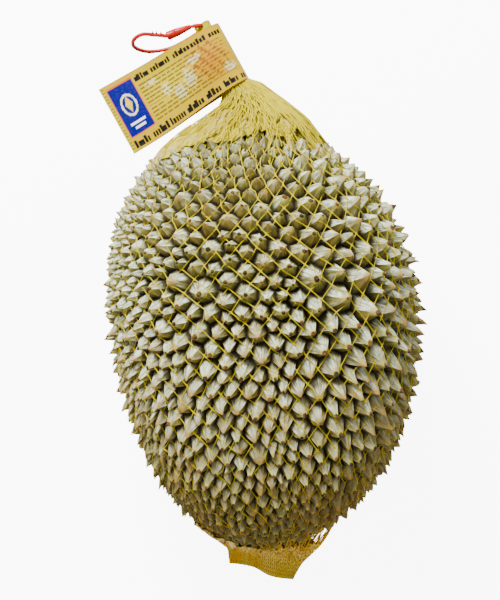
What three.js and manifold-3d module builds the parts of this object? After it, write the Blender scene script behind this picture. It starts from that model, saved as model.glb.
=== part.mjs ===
// A whole durian in a net bag, lying on its back.
//
// The fruit is one solid: an egg-shaped husk of five lobes whose surface is divided into cells,
// with one pyramid spike on each cell. A tubular diamond net is drawn over it. The net ends in a
// flat welded seam at the blossom end and is bunched into a neck at the stem end. A folded plastic
// label is looped round the neck, and a moulded tie passes through the bunched end of the net and
// closes into a carrying loop.
//
// Units are millimetres. +Z is up and the fruit's long axis runs along Y, stem end towards +Y.
// The origin is the middle of the small flat spot that the net bag rests on.

import * as THREE from "three";
import { ConvexHull } from "three/addons/math/ConvexHull.js";
import { mergeVertices } from "three/addons/utils/BufferGeometryUtils.js";
import Module from "manifold-3d";

const wasm = await Module();
wasm.setup();

// ---------- driving dimensions ----------

const TIP_RADIUS = 100; // widest radius over the spike tips
const STEM_END = 118; // from the widest section to the stem end
const BLOSSOM_END = 150; // from the widest section to the blossom end
const BLOSSOM_TAPER = 2.1; // over 2 makes the blossom end blunter than an ellipsoid's
const DEPTH_SHARE = 0.927; // the fruit is a little flatter than it is wide
const CENTRE_HEIGHT = 90; // of the fruit's axis above the resting plane
const AXIS_BOW = 0.0005; // sideways bow of the axis, per mm squared along Y
const LOBES = 5;
const LOBE_RISE = 0.025; // share of the radius by which a lobe stands proud of the mean

const SPIKE_HEIGHT = 11.5;
const SPIKE_SPACING = 10.1; // closest that two spikes stand on the widest part
const SPIKE_LEAN = 2.2; // how far a tip leans towards the blossom end
const SPIKE_TRIES = 40000;
const SETTLING_PASSES = 2;

const STALK_RADIUS = 8;
const STALK_TOP = 116.5; // the stalk is cut off just below the spike tips
const BARE_CROWN = 13; // spikes are short within this distance of the stalk's middle

const NET_COLUMNS = 20; // diamonds round the fruit
const NET_ROWS_BLOSSOM = 12; // rows of knots from the widest section to the seam
const NET_ROWS_STEM = 10; // rows of knots from the widest section to the neck
const NET_GAP = 1.85; // of the strands' middle outside the spike tips
const STRAND_HALF_WIDTH = 0.75;
const STRAND_HALF_DEPTH = 0.45;
const STRAND_FLOOR = 0.4; // no strand reaches lower, so that the fruit's own spikes carry it
const NOTCH_CLEARANCE = 0.35; // round the strands that are pressed into the lowest spikes
const SLOTTED_BELOW = 9; // a strand with an end lower than this has a slot in the spikes

const NECK_ANGLE = THREE.MathUtils.degToRad(21); // the neck leans this far to the left of +Y
const NECK_BASE = new THREE.Vector3(0.9, 136.5, 97); // where the neck enters the label
const NECK_RING = -6; // where the net's last row of knots is, along the neck from its base
const NECK_RING_SIZE = [13, 8.5];
const NECK_FLUTES = 9;
const NECK_TUFT = 46; // the bunched net ends here, along the neck

const SEAM_CENTRE = new THREE.Vector3(-24.5, -163, 78);
const SEAM_ANGLE = THREE.MathUtils.degToRad(-20); // of the seam's line from +X
const SEAM_RING = 9; // from the seam back to the net's first row of knots
const SEAM_RING_SIZE = [23, 6];
const SEAM_SIZE = [20, 1.3];

const LABEL_LENGTH = 84; // from the sealed end to the fold
const LABEL_FOLD = 9.2; // from the neck's middle to the outside of the fold
const LABEL_HALF_DEPTH = 8.9; // of the loop that goes round the neck
const LABEL_THICKNESS = 0.6;
const LABEL_SEAL = 9; // length of the sealed end, where the two panels are one
const LABEL_LOW = -2; // lower and upper edge, along the neck from its base
const LABEL_HIGH = 38;

const TIE_RADIUS = 1.05;
const TIE_HOLE_RADIUS = 1.5; // of the way that the tie takes through the bunched net
const HEAD_RADIUS = 2.7;
const HEAD_LENGTH = 13;
const BARB_COUNT = 3;

// ---------- helpers ----------

// Repeatable random numbers from 0 to 1.
function randomSource(seed) {
  let state = seed;
  return () => {
    state = (state + 0x6d2b79f5) | 0;
    let mixed = Math.imul(state ^ (state >>> 15), 1 | state);
    mixed = (mixed + Math.imul(mixed ^ (mixed >>> 7), 61 | mixed)) ^ mixed;
    return ((mixed ^ (mixed >>> 14)) >>> 0) / 4294967296;
  };
}

function geometryFrom(points, triangles) {
  const geometry = new THREE.BufferGeometry().setFromPoints(points);
  geometry.setIndex(triangles.flat());
  return geometry;
}

// A closed three.js geometry as a manifold-3d solid.
function toSolid(geometry) {
  const bare = geometry.clone();
  bare.deleteAttribute("normal");
  bare.deleteAttribute("uv");
  const merged = mergeVertices(bare, 1e-4);
  return new wasm.Manifold(
    new wasm.Mesh({
      numProp: 3,
      vertProperties: new Float32Array(merged.attributes.position.array),
      triVerts: new Uint32Array(merged.index.array),
    }),
  );
}

function toGeometry(solid) {
  const mesh = solid.getMesh();
  const geometry = new THREE.BufferGeometry();
  geometry.setAttribute("position", new THREE.BufferAttribute(mesh.vertProperties, 3));
  geometry.setIndex(new THREE.BufferAttribute(mesh.triVerts, 1));
  return geometry;
}

// A closed solid through rings of equally many points, with a point fan over each end.
// The rings run in the direction that their points turn about, by the right-hand rule.
function loft(rings) {
  const around = rings[0].length;
  const points = rings.flat();
  const triangles = [];
  for (let ring = 0; ring + 1 < rings.length; ring++) {
    for (let k = 0; k < around; k++) {
      const a = ring * around + k;
      const b = ring * around + ((k + 1) % around);
      triangles.push([a, b, b + around], [a, b + around, a + around]);
    }
  }
  const middle = (ring) =>
    ring.reduce((sum, p) => sum.add(p), new THREE.Vector3()).divideScalar(around);
  const first = points.push(middle(rings[0])) - 1;
  const last = points.push(middle(rings.at(-1))) - 1;
  const lastRing = (rings.length - 1) * around;
  for (let k = 0; k < around; k++) {
    const next = (k + 1) % around;
    triangles.push([first, next, k], [last, lastRing + k, lastRing + next]);
  }
  return geometryFrom(points, triangles);
}

// A round rod along a curve, with closed ends.
function rod(curve, radius, steps, sides) {
  const section = new THREE.Shape();
  section.absarc(0, 0, radius, 0, 2 * Math.PI);
  return new THREE.ExtrudeGeometry(section, {
    extrudePath: curve,
    steps,
    curveSegments: sides,
  });
}

// ---------- the fruit's outline ----------

// Radius over the spike tips at a place along the axis.
function outlineRadius(y) {
  const share = y > 0 ? y / STEM_END : -y / BLOSSOM_END;
  const power = y > 0 ? 2 : BLOSSOM_TAPER;
  return share < 1 ? TIP_RADIUS * Math.sqrt(1 - share ** power) : 0;
}

// Angle 0 faces straight down, and a quarter turn faces +X.
function lobeShare(angle) {
  return 1 + LOBE_RISE * Math.cos(LOBES * angle);
}

function axisPoint(y) {
  return new THREE.Vector3(-AXIS_BOW * y * y, y, CENTRE_HEIGHT);
}

// A point at a distance outside the tip surface, for a place along the axis and an angle round it.
function huskPoint(y, angle, outside) {
  const radius = outlineRadius(y) * lobeShare(angle) + outside;
  const across = new THREE.Vector3(Math.sin(angle), 0, -Math.cos(angle) * DEPTH_SHARE);
  return axisPoint(y).addScaledVector(across, radius);
}

// How far the tip surface is from the fruit's centre in a direction.
function tipDistance(direction) {
  let inside = 0;
  let outside = 1.2 * BLOSSOM_END;
  for (let step = 0; step < 24; step++) {
    const distance = (inside + outside) / 2;
    const y = distance * direction.y;
    const x = distance * direction.x + AXIS_BOW * y * y;
    const z = (distance * direction.z) / DEPTH_SHARE;
    const within = Math.hypot(x, z) < outlineRadius(y) * lobeShare(Math.atan2(x, -z));
    if (within) inside = distance;
    else outside = distance;
  }
  return inside;
}

// ---------- the fruit ----------

// Share of the full spacing at a place, from the fruit's centre: spikes are small at both ends
// and along the five seams between the lobes, and larger on the +X side.
function spacingShare(place) {
  const along = place.y > 0 ? place.y / STEM_END : -place.y / BLOSSOM_END;
  const towardsEnd = THREE.MathUtils.smoothstep(along, 0.15, 0.95);
  const angle = Math.atan2(place.x, -place.z);
  const seam = Math.max(0, -Math.cos(LOBES * angle)) ** 2;
  const side = 1 + 0.22 * Math.sin(angle);
  const end = place.y > 0 ? 0.3 : 0.46;
  return (1 - end * towardsEnd) * (1 - 0.16 * seam) * side;
}

// Directions from the centre at which spikes stand, spaced apart as spacingShare asks.
// The first points straight down, so that a spike stands on the origin.
function scatterSpikes(random) {
  const directions = [new THREE.Vector3(0, 0, -1)];
  const places = [new THREE.Vector3(0, 0, -tipDistance(directions[0]))];
  for (let attempt = 0; attempt < SPIKE_TRIES; attempt++) {
    const direction = new THREE.Vector3().setFromSphericalCoords(
      1,
      Math.acos(1 - 2 * random()),
      2 * Math.PI * random(),
    );
    const place = direction.clone().multiplyScalar(tipDistance(direction));
    const apart = SPIKE_SPACING * spacingShare(place);
    if (places.every((other) => other.distanceToSquared(place) > apart * apart)) {
      directions.push(direction);
      places.push(place);
    }
  }
  return directions;
}

// For each direction, the corners of its cell in order round it, seen from outside.
// The cells are the dual of the directions' convex hull.
function cellsAround(directions) {
  const hull = new ConvexHull().setFromPoints(directions);
  const numberOf = new Map(directions.map((direction, k) => [direction, k]));
  const corners = [];
  const leaving = new Map(); // from a direction and the one before it, to the corner between
  for (const face of hull.faces) {
    const triple = [0, 1, 2].map((k) => face.getEdge(k).head().point);
    const sum = triple.reduce((total, p) => total.add(p), new THREE.Vector3());
    const corner = corners.push(sum.normalize()) - 1;
    triple.forEach((point, k) => {
      const next = triple[(k + 1) % 3];
      leaving.set(`${numberOf.get(point)} ${numberOf.get(next)}`, {
        corner,
        third: numberOf.get(triple[(k + 2) % 3]),
      });
    });
  }
  const cells = directions.map(() => []);
  const starts = new Map();
  for (const key of leaving.keys()) {
    const [from, to] = key.split(" ").map(Number);
    starts.set(from, to);
  }
  directions.forEach((_, k) => {
    const start = starts.get(k);
    let neighbour = start;
    do {
      const found = leaving.get(`${k} ${neighbour}`);
      cells[k].push(found.corner);
      neighbour = found.third;
    } while (neighbour !== start);
  });
  return { corners, cells };
}

// Moves each spike but the first to the middle of its cell, which evens out the scatter.
function settle(directions) {
  const { corners, cells } = cellsAround(directions);
  return cells.map((cell, spike) => {
    if (spike === 0) return directions[0];
    const middle = new THREE.Vector3();
    for (const k of cell) middle.addScaledVector(corners[k], tipDistance(corners[k]));
    return middle.normalize();
  });
}

function makeFruit(slots) {
  const random = randomSource(17);
  let directions = scatterSpikes(random);
  for (let pass = 0; pass < SETTLING_PASSES; pass++) directions = settle(directions);
  const { corners, cells } = cellsAround(directions);

  const centre = axisPoint(0);
  const crown = axisPoint(STEM_END).sub(centre);
  const heightAt = (place) => {
    const bare = THREE.MathUtils.smoothstep(place.distanceTo(crown), 0.5 * BARE_CROWN, 1.5 * BARE_CROWN);
    return SPIKE_HEIGHT * spacingShare(place) * (0.25 + 0.75 * bare);
  };
  const onHusk = (direction, depthShare) => {
    const place = direction.clone().multiplyScalar(tipDistance(direction));
    const full = SPIKE_HEIGHT * spacingShare(place);
    const sunk = full - heightAt(place) * (1 - depthShare);
    return place.addScaledVector(direction, -sunk);
  };

  const valleys = corners.map((corner) => onHusk(corner, 1).add(centre));
  const tips = directions.map((direction) => {
    const leaning = direction.clone().multiplyScalar(tipDistance(direction));
    leaning.y -= SPIKE_LEAN;
    return onHusk(leaning.normalize(), 0.14 * random()).add(centre);
  });

  const triangles = cells.flatMap((cell, k) =>
    cell.map((corner, n) => [valleys.length + k, corner, cell[(n + 1) % cell.length]]),
  );
  const husk = toSolid(geometryFrom([...valleys, ...tips], triangles));

  const stalkFoot = 25;
  const stalk = new THREE.CylinderGeometry(STALK_RADIUS, 1.2 * STALK_RADIUS, stalkFoot, 14);
  stalk.translate(axisPoint(STALK_TOP).x, STALK_TOP - stalkFoot / 2, CENTRE_HEIGHT);

  const reach = 3 * TIP_RADIUS;
  const floor = new THREE.BoxGeometry(reach, reach, reach).translate(0, 0, -reach / 2);
  return toGeometry(husk.add(toSolid(stalk)).subtract(toSolid(floor)).subtract(slots));
}

// ---------- the net bag ----------

const alongNeck = new THREE.Vector3(-Math.sin(NECK_ANGLE), Math.cos(NECK_ANGLE), 0);
const acrossNeck = new THREE.Vector3(Math.cos(NECK_ANGLE), Math.sin(NECK_ANGLE), 0);
const acrossSeam = new THREE.Vector3(Math.cos(SEAM_ANGLE), Math.sin(SEAM_ANGLE), 0);
const alongSeam = new THREE.Vector3(-Math.sin(SEAM_ANGLE), Math.cos(SEAM_ANGLE), 0);
const up = new THREE.Vector3(0, 0, 1);

// A point on an oval about a centre, at an angle that counts like the fruit's own.
function ovalPoint(centre, across, [halfWidth, halfDepth], angle) {
  return centre
    .clone()
    .addScaledVector(across, halfWidth * Math.sin(angle))
    .addScaledVector(up, -halfDepth * Math.cos(angle));
}

function neckPoint(along, size, angle) {
  return ovalPoint(NECK_BASE.clone().addScaledVector(alongNeck, along), acrossNeck, size, angle);
}

function seamPoint(back, size, angle) {
  return ovalPoint(SEAM_CENTRE.clone().addScaledVector(alongSeam, back), acrossSeam, size, angle);
}

// The way a strand takes from the widest section to one end of the bag, at one angle: over the
// spike tips as far as the place where a straight line to the end's ring just clears them.
function tautWay(fruitEnd, ringPoint, angle) {
  const steps = 60;
  const onFruit = [];
  for (let step = 0; step < steps; step++) {
    const y = fruitEnd * Math.sin((0.5 * Math.PI * step) / steps);
    onFruit.push(huskPoint(y, angle, NET_GAP));
  }
  const radial = (point) => {
    const out = point.clone().sub(axisPoint(point.y));
    return out.x * Math.sin(angle) - out.z * Math.cos(angle);
  };
  const slope = (point) =>
    (radial(point) - radial(ringPoint)) / Math.abs(ringPoint.y - point.y);
  let leave = 0;
  onFruit.forEach((point, k) => {
    if (slope(point) > slope(onFruit[leave])) leave = k;
  });
  const way = new THREE.CurvePath();
  const corners = [...onFruit.slice(0, leave + 1), ringPoint];
  for (let k = 0; k + 1 < corners.length; k++) {
    way.add(new THREE.LineCurve3(corners[k], corners[k + 1]));
  }
  return way;
}

// The net's surface: row counts from the seam, and need not be whole.
function netPoint(row, angle) {
  const side = row - NET_ROWS_BLOSSOM;
  const way =
    side > 0
      ? tautWay(STEM_END, neckPoint(NECK_RING, NECK_RING_SIZE, angle), angle)
      : tautWay(-BLOSSOM_END, seamPoint(SEAM_RING, SEAM_RING_SIZE, angle), angle);
  const rows = side > 0 ? NET_ROWS_STEM : NET_ROWS_BLOSSOM;
  return way.getPointAt(Math.min(1, Math.abs(side) / rows));
}

// Alternate rows of knots are half a diamond apart, and no knot of the widest row is at the bottom.
function knotAngle(row, column) {
  return ((column + 0.5 + (row % 2) / 2) * 2 * Math.PI) / NET_COLUMNS;
}

// The five points of a knot: its four outer corners, and the ridge on its inner side.
function knotPoints(row, angle) {
  const rows = NET_ROWS_BLOSSOM + NET_ROWS_STEM;
  const [lowRow, highRow] = [Math.max(0, row - 0.2), Math.min(rows, row + 0.2)];
  const middle = netPoint(row, angle);
  const north = netPoint(highRow, angle).sub(netPoint(lowRow, angle)).normalize();
  const east = netPoint(row, angle + 0.02).sub(netPoint(row, angle - 0.02)).normalize();
  const out = new THREE.Vector3().crossVectors(north, east).normalize();
  const face = middle.clone().addScaledVector(out, STRAND_HALF_DEPTH);
  const corner = (direction, sign) =>
    face.clone().addScaledVector(direction, sign * STRAND_HALF_WIDTH);
  const corners = [corner(north, 1), corner(east, 1), corner(north, -1), corner(east, -1)];
  for (const point of corners) point.z = Math.max(point.z, STRAND_FLOOR);
  const ridge = middle.clone().addScaledVector(out, -STRAND_HALF_DEPTH);
  ridge.z = Math.max(ridge.z, STRAND_FLOOR + 2 * STRAND_HALF_DEPTH);
  return [...corners, ridge];
}

// The diamond net as one closed body. Each strand is a bar of three faces between two knots.
function makeLattice() {
  const rows = NET_ROWS_BLOSSOM + NET_ROWS_STEM;
  const points = [];
  for (let row = 0; row <= rows; row++) {
    for (let column = 0; column < NET_COLUMNS; column++) {
      points.push(...knotPoints(row, knotAngle(row, column)));
    }
  }
  const knot = (row, column) => {
    const first = 5 * (row * NET_COLUMNS + ((column + NET_COLUMNS) % NET_COLUMNS));
    return { north: first, east: first + 1, south: first + 2, west: first + 3, ridge: first + 4 };
  };
  const triangles = [];
  const quad = (a, b, c, d) => triangles.push([a, c, b], [a, d, c]);
  const strand = (rightA, leftA, ridgeA, rightB, leftB, ridgeB) => {
    quad(rightA, rightB, leftB, leftA);
    quad(rightB, rightA, ridgeA, ridgeB);
    quad(leftA, leftB, ridgeB, ridgeA);
  };
  for (let row = 0; row <= rows; row++) {
    for (let column = 0; column < NET_COLUMNS; column++) {
      const here = knot(row, column);
      quad(here.north, here.west, here.south, here.east);
      if (row === 0) {
        triangles.push([here.east, here.ridge, here.south], [here.south, here.ridge, here.west]);
      }
      if (row === rows) {
        triangles.push([here.north, here.ridge, here.east], [here.west, here.ridge, here.north]);
        continue;
      }
      const right = knot(row + 1, column + (row % 2));
      const left = knot(row + 1, column + (row % 2) - 1);
      strand(here.east, here.north, here.ridge, right.south, right.west, right.ridge);
      strand(here.north, here.west, here.ridge, left.east, left.south, left.ridge);
    }
  }
  return geometryFrom(points, triangles);
}

// Slots that are open below, for the strands that are pressed into the lowest spikes.
function makeSlots() {
  const halfWidth = STRAND_HALF_WIDTH + NOTCH_CLEARANCE;
  const top = (row, column) => knotPoints(row, knotAngle(row, column))[4];
  const slots = [];
  for (let row = 0; row < NET_ROWS_BLOSSOM + NET_ROWS_STEM; row++) {
    for (let column = 0; column < NET_COLUMNS; column++) {
      const start = top(row, column);
      for (const end of [top(row + 1, column + (row % 2)), top(row + 1, column + (row % 2) - 1)]) {
        if (Math.min(start.z, end.z) > SLOTTED_BELOW) continue;
        const along = end.clone().sub(start).setZ(0).setLength(halfWidth);
        const left = new THREE.Vector3(-along.y, along.x, 0);
        const corners = (end, outwards) => {
          const middle = end.clone().addScaledVector(along, outwards);
          const [leftTop, rightTop] = [1, -1].map((side) => middle.clone().addScaledVector(left, side));
          leftTop.z += NOTCH_CLEARANCE;
          rightTop.z += NOTCH_CLEARANCE;
          return [leftTop.clone().setZ(-1), leftTop, rightTop, rightTop.clone().setZ(-1)];
        };
        slots.push(toSolid(loft([corners(start, -1), corners(end, 1)])));
      }
    }
  }
  return slots.reduce((all, slot) => all.add(slot));
}

function ring(count, pointAt) {
  return Array.from({ length: count }, (_, k) => pointAt((2 * Math.PI * k) / count));
}

// The bunched end of the net: a fluted bundle, from the last row of knots to a short tuft.
function makeNeck(tieWay) {
  const stations = [
    [NECK_RING + 1.3, ...NECK_RING_SIZE],
    [LABEL_LOW - 0.8, 7.4, 6.8],
    [8, 7, 6.4],
    [24, 6.2, 5.6],
    [LABEL_HIGH, 5.2, 4.8],
    [NECK_TUFT, 6.8, 5.8],
  ];
  const sides = 4 * NECK_FLUTES;
  const rings = stations.map(([along, halfWidth, halfDepth]) =>
    ring(sides, (angle) => {
      const flute = 1 - 0.07 * (1 + Math.cos(NECK_FLUTES * angle));
      return neckPoint(along, [halfWidth * flute, halfDepth * flute], -angle);
    }),
  );
  const throughTuft = toSolid(rod(tieWay, TIE_HOLE_RADIUS, 24, 4));
  return toGeometry(toSolid(loft(rings)).subtract(throughTuft));
}

// The flat welded end of the net.
function makeSeam() {
  const stations = [
    [SEAM_RING - 1.3, ...SEAM_RING_SIZE],
    [2.5, SEAM_SIZE[0] + 0.5, SEAM_SIZE[1] + 0.4],
    [0, ...SEAM_SIZE],
  ];
  const rings = stations.map(([back, halfWidth, halfDepth]) =>
    ring(20, (angle) => seamPoint(back, [halfWidth, halfDepth], angle)),
  );
  return loft(rings);
}


// ---------- the label ----------

// One strip, folded round the neck and sealed to itself at its free end.
// Its section is drawn with x across the neck and y up, and it is extruded along the neck.
function makeLabel() {
  const sealedEnd = LABEL_FOLD - LABEL_LENGTH;
  const sealInside = sealedEnd + LABEL_SEAL;
  const outline = (shape, inset) => {
    const depth = LABEL_HALF_DEPTH - inset;
    const fold = LABEL_FOLD - inset;
    shape.moveTo(sealInside, inset ? 0 : -LABEL_THICKNESS);
    shape.bezierCurveTo(sealInside + 30, -0.3 * depth, -20, -depth, -1, -depth);
    shape.bezierCurveTo(0.6 * fold, -depth, fold, -0.55 * depth, fold, 0);
    shape.bezierCurveTo(fold, 0.55 * depth, 0.6 * fold, depth, -1, depth);
    shape.bezierCurveTo(-20, depth, sealInside + 30, 0.3 * depth, sealInside, inset ? 0 : LABEL_THICKNESS);
    return shape;
  };
  const strip = outline(new THREE.Shape(), 0);
  strip.lineTo(sealedEnd, LABEL_THICKNESS);
  strip.lineTo(sealedEnd, -LABEL_THICKNESS);
  strip.closePath();
  strip.holes.push(outline(new THREE.Path(), LABEL_THICKNESS));
  const label = new THREE.ExtrudeGeometry(strip, {
    depth: LABEL_HIGH - LABEL_LOW,
    bevelEnabled: false,
    curveSegments: 7,
  });
  const place = new THREE.Matrix4().makeBasis(acrossNeck, up, alongNeck.clone().negate());
  place.setPosition(NECK_BASE.clone().addScaledVector(alongNeck, LABEL_HIGH));
  return label.applyMatrix4(place);
}

// ---------- the tie ----------

// The strand's points, as across the neck, along the neck and up from the neck's middle.
const TIE_POINTS = [
  [-7, 43.4, 7.5],
  [-1.5, 41.6, 5.5],
  [0, 40.8, 0],
  [-2, 40.4, -6],
  [-11, 40, -8.5],
  [-24, 40.5, -8.5],
  [-36, 44.5, -7],
  [-42.5, 50, -2],
  [-41.5, 53.5, 4],
  [-35, 53.5, 7.5],
  [-28.5, 49.3, 8.5],
  [-22, 45, 8.5],
];

function tiePoint([across, along, height]) {
  return NECK_BASE.clone()
    .addScaledVector(acrossNeck, across)
    .addScaledVector(alongNeck, along)
    .addScaledVector(up, height);
}

function makeTie(tieWay) {
  const strand = toSolid(rod(tieWay, TIE_RADIUS, 48, 4));
  const [nose, back] = [tieWay.getPointAt(0), tieWay.getPointAt(1)];
  const forward = nose.clone().sub(back).normalize();
  const profile = [
    [0, -1],
    [0.62 * HEAD_RADIUS, -1],
    [HEAD_RADIUS, 1.5],
    [HEAD_RADIUS, 0.5 * HEAD_LENGTH],
    [TIE_RADIUS * 1.15, HEAD_LENGTH + 1],
    [0, HEAD_LENGTH + 1],
  ].map(([radius, along]) => new THREE.Vector2(radius, along));
  const head = new THREE.LatheGeometry(profile, 12);
  head.applyQuaternion(new THREE.Quaternion().setFromUnitVectors(new THREE.Vector3(0, 1, 0), forward));
  head.translate(...back);
  let tie = strand.add(toSolid(head));
  for (let barb = 0; barb < BARB_COUNT; barb++) {
    const share = 0.955 - 0.027 * barb;
    const cone = new THREE.ConeGeometry(0.9, 2.4, 6);
    cone.applyQuaternion(new THREE.Quaternion().setFromUnitVectors(new THREE.Vector3(0, 1, 0), up));
    cone.translate(...tieWay.getPointAt(share).addScaledVector(up, TIE_RADIUS + 0.6));
    tie = tie.add(toSolid(cone));
  }
  return toGeometry(tie);
}

// ---------- assembly ----------

const tieWay = new THREE.CatmullRomCurve3(TIE_POINTS.map(tiePoint), false, "centripetal");

function piece(name, geometry, color, roughness, metalness = 0) {
  const mesh = new THREE.Mesh(geometry, new THREE.MeshStandardMaterial({ color, roughness, metalness }));
  mesh.name = name;
  return mesh;
}

const durian = new THREE.Group();
durian.add(
  piece("durian_fruit", makeFruit(makeSlots()), 0x8f8a5c, 0.75),
  piece("net_sleeve", makeLattice(), 0xe8d21f, 0.45),
  piece("net_neck", makeNeck(tieWay), 0xe8d21f, 0.45),
  piece("net_seam", makeSeam(), 0xd9a514, 0.45),
  piece("header_label", makeLabel(), 0xf5c400, 0.35),
  piece("loop_tie", makeTie(tieWay), 0xd81e12, 0.4),
);

export default durian;
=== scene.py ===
"""A whole durian in a net bag, with its folded label and moulded loop tie."""

import math

import bpy
import numpy as np
from bpy.props import (
    FloatProperty,
    FloatVectorProperty,
    IntProperty,
    PointerProperty,
)
from bpy.types import Operator, Panel, PropertyGroup
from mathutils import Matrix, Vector, noise
from mathutils.bvhtree import BVHTree


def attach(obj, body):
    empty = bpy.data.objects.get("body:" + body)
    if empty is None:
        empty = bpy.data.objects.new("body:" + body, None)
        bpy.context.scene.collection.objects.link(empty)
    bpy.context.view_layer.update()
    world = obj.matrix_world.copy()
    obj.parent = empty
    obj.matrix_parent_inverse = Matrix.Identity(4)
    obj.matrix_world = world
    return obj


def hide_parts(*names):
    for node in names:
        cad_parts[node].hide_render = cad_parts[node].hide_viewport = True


bl_info = {
    "name": "Netted durian",
    "version": (1, 0, 0),
    "blender": (4, 5, 0),
    "location": "3D View > Sidebar > Durian",
    "description": "Builds a whole durian in a net bag with its label and tie",
    "category": "Object",
}

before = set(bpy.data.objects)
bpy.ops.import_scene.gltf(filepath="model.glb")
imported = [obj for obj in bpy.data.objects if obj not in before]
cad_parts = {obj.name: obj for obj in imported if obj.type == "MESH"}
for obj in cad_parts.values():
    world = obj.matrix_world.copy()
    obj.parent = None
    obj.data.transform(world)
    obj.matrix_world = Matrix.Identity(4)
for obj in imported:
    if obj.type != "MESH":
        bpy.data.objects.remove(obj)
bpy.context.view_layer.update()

# ---------- the shapes that the pieces share, in metres ----------

WIDEST_HEIGHT = 0.090  # of the fruit's axis above the surface it lies on
DEPTH_SHARE = 0.927
TIP_RADIUS = 0.100
STEM_END = 0.118
BLOSSOM_END = 0.150
AXIS_BOW = 0.5  # sideways, per metre squared along Y
NECK_BASE = np.array([0.0009, 0.1365, 0.097])
NECK_ANGLE = math.radians(21)
ALONG_NECK = np.array([-math.sin(NECK_ANGLE), math.cos(NECK_ANGLE), 0.0])
ACROSS_NECK = np.array([math.cos(NECK_ANGLE), math.sin(NECK_ANGLE), 0.0])
SEAM_CENTRE = np.array([-0.0245, -0.163, 0.078])
SEAM_ANGLE = math.radians(-20)
ALONG_SEAM = np.array([-math.sin(SEAM_ANGLE), math.cos(SEAM_ANGLE), 0.0])
ACROSS_SEAM = np.array([math.cos(SEAM_ANGLE), math.sin(SEAM_ANGLE), 0.0])
UP = np.array([0.0, 0.0, 1.0])


def axis_point(y):
    return np.array([-AXIS_BOW * y * y, y, WIDEST_HEIGHT])


def tip_radius(y, angle):
    """Radius over the spike tips. Angle 0 faces straight down."""
    share = y / STEM_END if y > 0 else -y / BLOSSOM_END
    power = 2.0 if y > 0 else 2.1
    rise = 1 + 0.025 * math.cos(5 * angle)
    return TIP_RADIUS * math.sqrt(max(0.0, 1 - share**power)) * rise


def husk_point(y, angle, outside):
    radius = tip_radius(y, angle) + outside
    across = np.array([math.sin(angle), 0.0, -DEPTH_SHARE * math.cos(angle)])
    return axis_point(y) + radius * across


def oval_point(centre, across, half_width, half_depth, angle):
    return (
        centre
        + across * half_width * math.sin(angle)
        - UP * half_depth * math.cos(angle)
    )


def neck_point(along, half_width, half_depth, angle):
    return oval_point(
        NECK_BASE + ALONG_NECK * along, ACROSS_NECK, half_width, half_depth, angle
    )


def seam_point(back, half_width, half_depth, angle):
    return oval_point(
        SEAM_CENTRE + ALONG_SEAM * back, ACROSS_SEAM, half_width, half_depth, angle
    )


# ---------- helpers ----------


def deselect_all():
    if bpy.context.object and bpy.context.object.mode != "OBJECT":
        bpy.ops.object.mode_set(mode="OBJECT")
    bpy.ops.object.select_all(action="DESELECT")


def activate(piece):
    deselect_all()
    piece.select_set(True)
    bpy.context.view_layer.objects.active = piece


def in_edit_mode(piece, *steps):
    """Runs mesh operators on all of a piece's geometry."""
    activate(piece)
    bpy.ops.object.mode_set(mode="EDIT")
    bpy.ops.mesh.select_mode(type="VERT")
    bpy.ops.mesh.select_all(action="SELECT")
    for step, settings in steps:
        step(**settings)
    bpy.ops.object.mode_set(mode="OBJECT")


def apply_modifiers(piece):
    activate(piece)
    for modifier in list(piece.modifiers):
        bpy.ops.object.modifier_apply(modifier=modifier.name)


def set_place(piece):
    activate(piece)
    bpy.ops.object.transform_apply(location=True, rotation=True, scale=True)


def smooth_shade(piece, angle):
    activate(piece)
    bpy.ops.object.shade_smooth_by_angle(angle=math.radians(angle))


def get_places(mesh):
    places = np.empty(len(mesh.vertices) * 3)
    mesh.vertices.foreach_get("co", places)
    return places.reshape(-1, 3)


def set_places(mesh, places):
    mesh.vertices.foreach_set("co", places.reshape(-1))
    mesh.update()


def add_number(mesh, name, values):
    attribute = mesh.attributes.new(name, "FLOAT", "POINT")
    attribute.data.foreach_set("value", np.asarray(values, float))


def get_numbers(mesh, name):
    values = np.empty(len(mesh.vertices))
    mesh.attributes[name].data.foreach_get("value", values)
    return values


def smooth_step(low, high, value):
    share = np.clip((value - low) / (high - low), 0, 1)
    return share * share * (3 - 2 * share)


def fit_piece(piece, material, slot, *nodes):
    """Gives a finished piece its material and its place in the frame."""
    piece.data.materials.clear()
    piece.data.materials.append(material)
    piece.data.name = piece.name
    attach(piece, "root")
    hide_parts(*nodes)


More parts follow.
